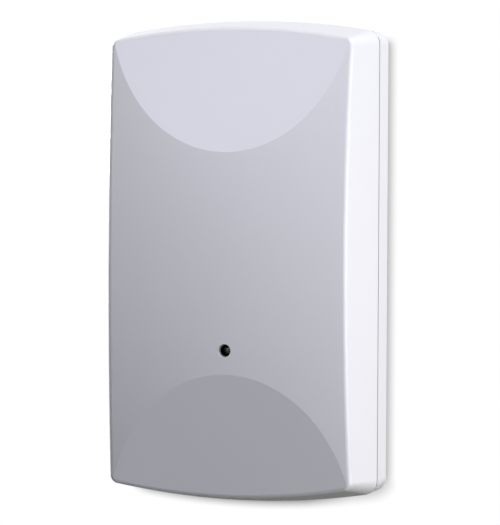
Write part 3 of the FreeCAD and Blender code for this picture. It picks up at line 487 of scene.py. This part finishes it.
# %% Solder joints round the leads
joint_graph = shape_graph("solder_joint", "tinned_lead", "round", Top=0.35, Waist=0.18)
SPREAD = 0.55 * MM
for side, place, turned, rise in (("front", ON_FRONT, 1, 0.35), ("back", ON_BACK, -1, 0.75)):
    spots = [(x, turned * z, 0.0) for x, z, radius in through]
    sizes = [(radius + SPREAD, radius + SPREAD, rise * MM) for x, z, radius in through]
    run_tree(joint_graph, point_mesh(spots, sizes), f"solder_{side}", "base", "tinned_lead", place, Top=0.5)

# %% [markdown]
# Surface parts sit on flat pads that are a little larger than their feet. The resistors and
# the ceramic capacitors have a plated cap at each end, which is their only contact.

# %% Pads and end caps
FLAT_PARTS = ("controller_leads", "regulator_leads", "positive_contact", "negative_contact")
pad_graph = shape_graph("pad", "tinned_lead", "flat")
PAD_EDGE, PAD_HEIGHT, CAP_LENGTH = 0.20 * MM, 0.05 * MM, 0.38 * MM
FINE_FOOT, SHEET_FOOT, LONGEST_PAD = 1.2 * MM, 0.9 * MM, 2.6 * MM
pad_spots, pad_sizes, cap_spots, cap_sizes = [], [], [], []
for node in FLAT_PARTS:
    for low, high in lumps(node):
        foot = low.z if node != "positive_contact" else low.z + SHEET_FOOT
        depth = min(high.z - low.z, LONGEST_PAD)
        edges = [PAD_EDGE / 4 if span < FINE_FOOT / 2 else PAD_EDGE for span in (high.x - low.x, depth)]
        pad_spots.append(((low.x + high.x) / 2, foot + depth / 2, 0.0))
        pad_sizes.append((high.x - low.x + 2 * edges[0], depth + 2 * edges[1], PAD_HEIGHT))
for node in ("resistors", "filter_capacitors"):
    for low, high in lumps(node):
        for x in (low.x + CAP_LENGTH / 2, high.x - CAP_LENGTH / 2):
            z = (low.z + high.z) / 2
            outward = math.copysign(0.12 * MM, x - (low.x + high.x) / 2)
            cap_spots.append((x, z, 0.0))
            cap_sizes.append((CAP_LENGTH + 0.05 * MM, high.z - low.z + 0.06 * MM, high.y - low.y + 0.04 * MM))
            pad_spots.append((x + outward, z, 0.0))
            pad_sizes.append((2 * CAP_LENGTH, high.z - low.z + PAD_EDGE, PAD_HEIGHT))
run_tree(pad_graph, point_mesh(pad_spots, pad_sizes), "pads", "base", "tinned_lead", ON_FRONT, 0.015 * MM)
run_tree(pad_graph, point_mesh(cap_spots, cap_sizes), "end_caps", "base", "tinned_lead", ON_FRONT, 0.05 * MM)

# %% [markdown]
# Copper tracks run under the lacquer as faint ridges, and white ink draws an outline round
# each part so that the people who fit it can see its place. Both are lines of one width: the
# tree makes the drawing's edges a curve and sweeps a small rectangle along it.

# %% Lines on the board
finishes["track"] = moulded("lacquered copper", (0.020, 0.190, 0.080), 0.26, 900, 0.004 * MM, Coat_Weight=0.5)
finishes["ink"] = moulded("white ink", (0.74, 0.75, 0.72), 0.5, 3000, 0.004 * MM)


def line_graph(name, slot):
    graph, given = geometry_graph(name, Width=0.2 * MM, Height=0.04 * MM)
    line = graph.node("GeometryNodeMeshToCurve", {}, given["Geometry"])
    level = graph.node("GeometryNodeSetCurveNormal", {"mode": "Z_UP"}, line)
    section = graph.node("GeometryNodeCurvePrimitiveQuadrilateral", {}, given["Width"], given["Height"])
    end_with(graph, graph.node("GeometryNodeCurveToMesh", {}, level, section, Fill_Caps=True), slot)
    return graph.tree


def line_mesh(lines):
    mesh = bpy.data.meshes.new("lines")
    points, edges = [], []
    for line in lines:
        start = len(points)
        points += [(x, z, 0.0) for x, z in line]
        edges += [(start + index, start + index + 1) for index in range(len(line) - 1)]
    mesh.from_pydata(points, edges, [])
    return mesh


def elbow(start, end):
    """From pad to pad with one straight run and one at 45 degrees."""
    (x, z), (far_x, far_z) = start, end
    across, along = far_x - x, far_z - z
    slant = min(abs(across), abs(along))
    turn = (far_x - math.copysign(slant, across), far_z - math.copysign(slant, along))
    return [start, turn, end]


pins = middles(lumps("controller_leads"))
chip_x, chip_z = middles([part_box("controller")])[0]
sides = {
    "top": sorted(pin for pin in pins if pin[1] - chip_z > abs(pin[0] - chip_x)),
    "bottom": sorted(pin for pin in pins if chip_z - pin[1] > abs(pin[0] - chip_x)),
    "right": sorted((pin for pin in pins if pin[0] - chip_x > abs(pin[1] - chip_z)), key=lambda pin: pin[1]),
    "left": sorted((pin for pin in pins if chip_x - pin[0] > abs(pin[1] - chip_z)), key=lambda pin: pin[1]),
}
chips = sorted(lumps("resistors") + lumps("filter_capacitors"), key=lambda box: box[0].z)
edge_pads = [(low.x, (low.z + high.z) / 2) for low, high in chips if low.x > chip_x]
shield_low, shield_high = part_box("radio_shield")
joints = {node: middles(lumps(node)) for node in ("light_leads", "tamper_leads")}
LANE = 0.16 * MM
tracks = []
for number, (pin, pad) in enumerate(zip(sides["right"], edge_pads)):
    lane = pad[0] - (number + 1) * LANE
    tracks.append([pin, (lane, pin[1]), (lane, pad[1]), pad])
for number, (x, z) in enumerate(sides["top"]):
    tracks.append(elbow((x, z), (x + (number % 3 - 1) * 3 * LANE, shield_low.z)))
for number, (x, z) in enumerate(sides["bottom"]):
    pad = joints["tamper_leads"][number % 4] if number % 2 else (x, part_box("clock_crystal")[0].z)
    tracks.append(elbow((x, z), (pad[0], max(pad[1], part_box("tamper_switch")[0].z))))
for pin, pad in zip(sides["left"], joints["light_leads"]):
    tracks.append(elbow(pin, pad))
can_x, can_z = middles([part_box("capacitor_foot")])[0]
for number, pin in enumerate(sides["left"][2:5]):
    tracks.append([pin, (pin[0] - (2 + number) * LANE, pin[1]), (pin[0] - (2 + number) * LANE, can_z)])
track_graph = line_graph("track", "track")
run_tree(track_graph, line_mesh(tracks), "fine_tracks", "base", "board_laminate", ON_FRONT,
         Width=0.15 * MM, Height=0.05 * MM)
plus_low, plus_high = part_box("positive_contact")
minus_low, minus_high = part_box("negative_contact")
antenna_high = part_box("antenna")[1]
power_x = minus_high.x + 3.6 * MM
power = [
    [(plus_high.x, plus_high.z), (power_x, plus_high.z), (power_x, can_z), (can_x, can_z)],
    [(minus_high.x, minus_low.z), (can_x, minus_low.z)],
    [(shield_high.x - MM, shield_high.z), (antenna_high.x, shield_high.z + 2 * MM),
     (antenna_high.x, antenna_high.z)],
]
run_tree(track_graph, line_mesh(power), "power_tracks", "base", "board_laminate", ON_FRONT,
         Width=0.8 * MM, Height=0.05 * MM)


def frame_round(node, gap):
    low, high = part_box(node)
    left, right, bottom, top = low.x - gap, high.x + gap, low.z - gap, high.z + gap
    return [(left, bottom), (right, bottom), (right, top), (left, top), (left, bottom)]


def ring_round(centre, radius, steps=32):
    turn = 2 * math.pi / steps
    return [(centre[0] + radius * math.cos(index * turn), centre[1] + radius * math.sin(index * turn))
            for index in range(steps + 1)]


outlines = [frame_round(node, 0.35 * MM) for node in ("controller_leads", "tamper_switch", "radio_shield",
                                                      "clock_crystal", "capacitor_foot", "regulator")]
outlines.append(ring_round(middles([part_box("status_light")])[0], 2.2 * MM))
tilt_x, tilt_z = middles([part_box("tilt_pins")])[0]
outlines.append(ring_round((tilt_x, tilt_z), 3.2 * MM))
MARK = 0.9 * MM
for x, z, signs in ((plus_high.x + 2 * MM, plus_low.z - 0.4 * MM, 2),
                    (minus_high.x + 1.6 * MM, minus_low.z - MM, 1)):
    outlines.append([(x - MARK, z), (x + MARK, z)])
    if signs == 2:
        outlines.append([(x, z - MARK), (x, z + MARK)])
run_tree(line_graph("ink", "ink"), line_mesh(outlines), "ink_lines", "base", "board_laminate", ON_FRONT,
         Width=0.16 * MM, Height=0.05 * MM)

# %% [markdown]
# A moulding leaves its mould in two ways. Ejector pins push it out and leave shallow round
# marks on the inside, and the gate where the plastic flowed in leaves a small rough stub.
# The tree draws the pin marks, as low discs.

# %% Mould marks
disc_graphs = {slot: shape_graph(f"disc_{slot}", slot, "round", Top=1.0, Waist=0.0)
               for slot in ("cover_plastic", "base_plastic")}
FLOOR_TOP = -1.8 * MM
marks = [(x * MM, z * MM, 0.0) for x in (-15.5, 15.5) for z in (-12.0, 2.0, 14.0)]
run_tree(disc_graphs["base_plastic"], point_mesh(marks, [(1.6 * MM, 1.6 * MM, 0.06 * MM)] * len(marks)),
         "base_marks", "base", "base_plastic",
         Matrix.Translation((0.0, FLOOR_TOP, 0.0)) @ Matrix.Rotation(math.pi / 2, 4, "X"), 0.03 * MM, Top=1.0)

FACE_INSIDE = 20.6 * MM
BULGE, BOW = 171 * MM, 263 * MM
cover_marks = [(x * MM, z * MM) for x in (3.0, 15.0) for z in (-3.0, 12.0)]
spots = [(x, -z, x * x / (2 * BULGE) + z * z / (2 * BOW)) for x, z in cover_marks]
run_tree(disc_graphs["cover_plastic"], point_mesh(spots, [(1.8 * MM, 1.8 * MM, 0.08 * MM)] * len(spots)),
         "cover_marks", "cover", "cover_plastic",
         Matrix.Translation((0.0, -FACE_INSIDE, 0.0)) @ Matrix.Rotation(-math.pi / 2, 4, "X"),
         0.03 * MM, Top=1.0)

# %% [markdown]
# The tamper switch's metal lid is held by four stakes of its case's plastic, melted over at
# the corners.

# %% Stakes of the tamper switch
lid_low, lid_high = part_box("tamper_plate")
stake_graph = shape_graph("stake", "black_moulding", "round", Top=0.7, Waist=0.0)
STAKE_INSET = 0.75 * MM
stakes = [(x, z, 0.0) for x in (lid_low.x + STAKE_INSET, lid_high.x - STAKE_INSET)
          for z in (lid_low.z + STAKE_INSET, lid_high.z - STAKE_INSET)]
run_tree(stake_graph, point_mesh(stakes, [(0.45 * MM, 0.45 * MM, 0.22 * MM)] * 4), "tamper_stakes", "base",
         "black_moulding", Matrix.Translation((0.0, lid_low.y, 0.0)) @ Matrix.Rotation(math.pi / 2, 4, "X"),
         0.06 * MM, Top=0.7)

# %% [markdown]
# The photograph is as even as a catalogue picture: the background is pure white and the
# object lies on its back on it, with a thin soft shadow along its right and lower edges.
# The camera and reflections see the white, except that the room is dark far below, so that
# the lower wall mirrors no white. The plastic is lit only by a dim room and the lamps. The
# floor shades itself by how much of the sky the object hides from each spot, and only beside
# the two edges where the photograph has its shadow. The lamps do not see the floor, and from
# behind it is clear, so that the back can be looked at.

# %% Floor and room
scene = bpy.context.scene
scene.view_settings.view_transform = "Standard"
ROOM_LIGHT = 0.07
DARK_BELOW, FADE = 0.24, 0.14
world = bpy.data.worlds.new("room")
world.use_nodes = True
room = Graph(world.node_tree)
background = world.node_tree.nodes["Background"]
path = [room.node("ShaderNodeLightPath", {}, output=kind)
        for kind in ("Is Camera Ray", "Is Glossy Ray", "Is Transmission Ray")]
ray = room.node("ShaderNodeTexCoord", {}, output="Generated")
height = room.node("ShaderNodeSeparateXYZ", {}, ray, output="Z")
lit = ((height + DARK_BELOW) / FADE).clamped()
seen = path[0].larger(path[1] * lit).larger(path[2])
room.put(background.inputs["Strength"], ROOM_LIGHT + (1 - ROOM_LIGHT) * seen)
background.inputs["Color"].default_value = (1.0, 1.0, 1.0, 1.0)
scene.world = world

shaded = Finish("floor white", (0.0, 0.0, 0.0), 1.0, Specular_IOR_Level=0.0, Emission_Strength=1.0)
SIDE_FROM, SIDE_TO, END_FROM, CORNER_FROM = 20.0 * MM, 37.6 * MM, -36.0 * MM, 8.0 * MM
SHADOW_REACH, MORE_REACH = 1.7 * MM, 0.7 * MM
x, z = shaded.axis("X"), shaded.axis("Z")
beside = ((x - SIDE_FROM) / (2 * MM)).clamped() * ((SIDE_TO - z) / (1.5 * MM)).clamped()
below = ((END_FROM - z) / (1.5 * MM)).clamped()
corner = ((x - CORNER_FROM) / (8 * MM)).clamped()
open_sky = shaded.node("ShaderNodeAmbientOcclusion", {"samples": 16},
                       Distance=SHADOW_REACH + below * MORE_REACH, output="AO")
hidden = ((1 - open_sky) * beside.larger(below * (2.2 - 1.2 * corner))).clamped()
# painted shadow: the floor's glow turns dark grey where the object hides the sky, beside the right and lower
# edges
shaded.set(Emission_Color=shaded.mix(hidden, (1.0, 1.0, 1.0), (0.05, 0.05, 0.06)))
clear = shaded.tree.nodes.new("ShaderNodeBsdfTransparent")
chosen = shaded.tree.nodes.new("ShaderNodeMixShader")
behind = shaded.node("ShaderNodeNewGeometry", {}, output="Backfacing")
shaded.put(chosen.inputs[0], behind)
shaded.put(chosen.inputs[1], Value(shaded, shaded.shader.outputs[0]))
shaded.put(chosen.inputs[2], Value(shaded, clear.outputs[0]))
shaded.put(shaded.tree.nodes["Material Output"].inputs["Surface"], Value(shaded, chosen.outputs[0]))

REACH, LEVEL = 1.5, 0.05 * MM
sheet = bpy.data.meshes.new("floor")
sheet.from_pydata([(-REACH, LEVEL, -REACH), (REACH, LEVEL, -REACH), (REACH, LEVEL, REACH),
                   (-REACH, LEVEL, REACH)], [], [(0, 1, 2, 3)])
floor = bpy.data.objects.new("floor", sheet)
floor.data.materials.append(shaded.material)
floor.visible_diffuse = floor.visible_glossy = floor.visible_shadow = floor.visible_transmission = False
scene.collection.objects.link(floor)

# %% [markdown]
# The brightest light stands to the upper right and almost level with the face, so that the
# small bulge of the face already turns it from grey to white. One from the upper left and one
# level with the right side bring the top and the side up to it, so that the corner between
# them isn't brighter than both. A small one stands where the upper facet mirrors it to the
# camera, which lifts that facet and not the top, and one close to the right side is strong on
# the near half of the face and weak on the far half. A weak one lifts the underside, and one
# stands behind for the views from there, where nothing that shows from the front mirrors it.
# The powers and the slight tints were found by rendering each lamp alone and fitting the sum
# to the photograph's shades.

# %% Lamps
centre = Vector((0.0, -0.010, 0.0))


def lamp(name, toward, power, colour, distance=0.9, size=0.5):
    """A square soft light that stands in a direction from the object and looks at it."""
    data = bpy.data.lights.new(name, "AREA")
    data.shape = "SQUARE"
    data.size = size
    data.energy = power
    data.color = colour
    item = bpy.data.objects.new(name, data)
    direction = Vector(toward).normalized()
    item.location = centre + direction * distance
    item.rotation_euler = direction.to_track_quat("Z", "Y").to_euler()
    scene.collection.objects.link(item)


lamp("key", (0.8, -0.35, 1.0), 5.9, (0.80, 0.83, 1.0))
lamp("top_left", (-0.35, -0.35, 1.0), 2.1, (1.0, 0.94, 0.72))
lamp("side", (1.0, -0.10, -0.12), 2.9, (1.0, 0.98, 0.85))
lamp("mirrored", (-0.27, -0.90, 0.35), 1.5, (0.77, 0.81, 1.0), size=0.2)
lamp("near_side", (1.0, -0.45, 0.1), 0.28, (0.95, 0.92, 1.0), distance=0.28, size=0.15)
lamp("below", (0.3, 0.3, -1.0), 1.2, (1.0, 1.0, 1.0))
lamp("back_left", (-1.0, 0.9, 0.4), 6.5, (0.94, 0.94, 1.0))

# %% [markdown]
# The camera was fitted to the photograph's outlines: it stands a little to the right and
# hardly above, with a long lens, and it leans by a quarter of a degree.

# %% Camera
YAW = math.radians(16.0)
LIFT = math.radians(1.585)
LEAN = math.radians(0.274)
DISTANCE = 0.4541
FOCAL_PIXELS = 2763.6
LONG_SIDE = 525
MIDDLE = (250.0, 262.5)
AIM = Vector((0.0, -0.01145, 0.0))
AIM_PIXEL = (241.88, 262.07)

camera_data = bpy.data.cameras.new("camera")
camera = bpy.data.objects.new("camera", camera_data)
back = Vector((math.sin(YAW) * math.cos(LIFT), -math.cos(YAW) * math.cos(LIFT), math.sin(LIFT)))
camera.location = AIM + back * DISTANCE
camera.rotation_euler = (back.to_track_quat("Z", "Y") @ Quaternion((0.0, 0.0, 1.0), LEAN)).to_euler()
camera_data.sensor_width = 36.0
camera_data.lens = FOCAL_PIXELS * camera_data.sensor_width / LONG_SIDE
camera_data.shift_x = (MIDDLE[0] - AIM_PIXEL[0]) / LONG_SIDE
camera_data.shift_y = (AIM_PIXEL[1] - MIDDLE[1]) / LONG_SIDE
scene.collection.objects.link(camera)
scene.camera = camera
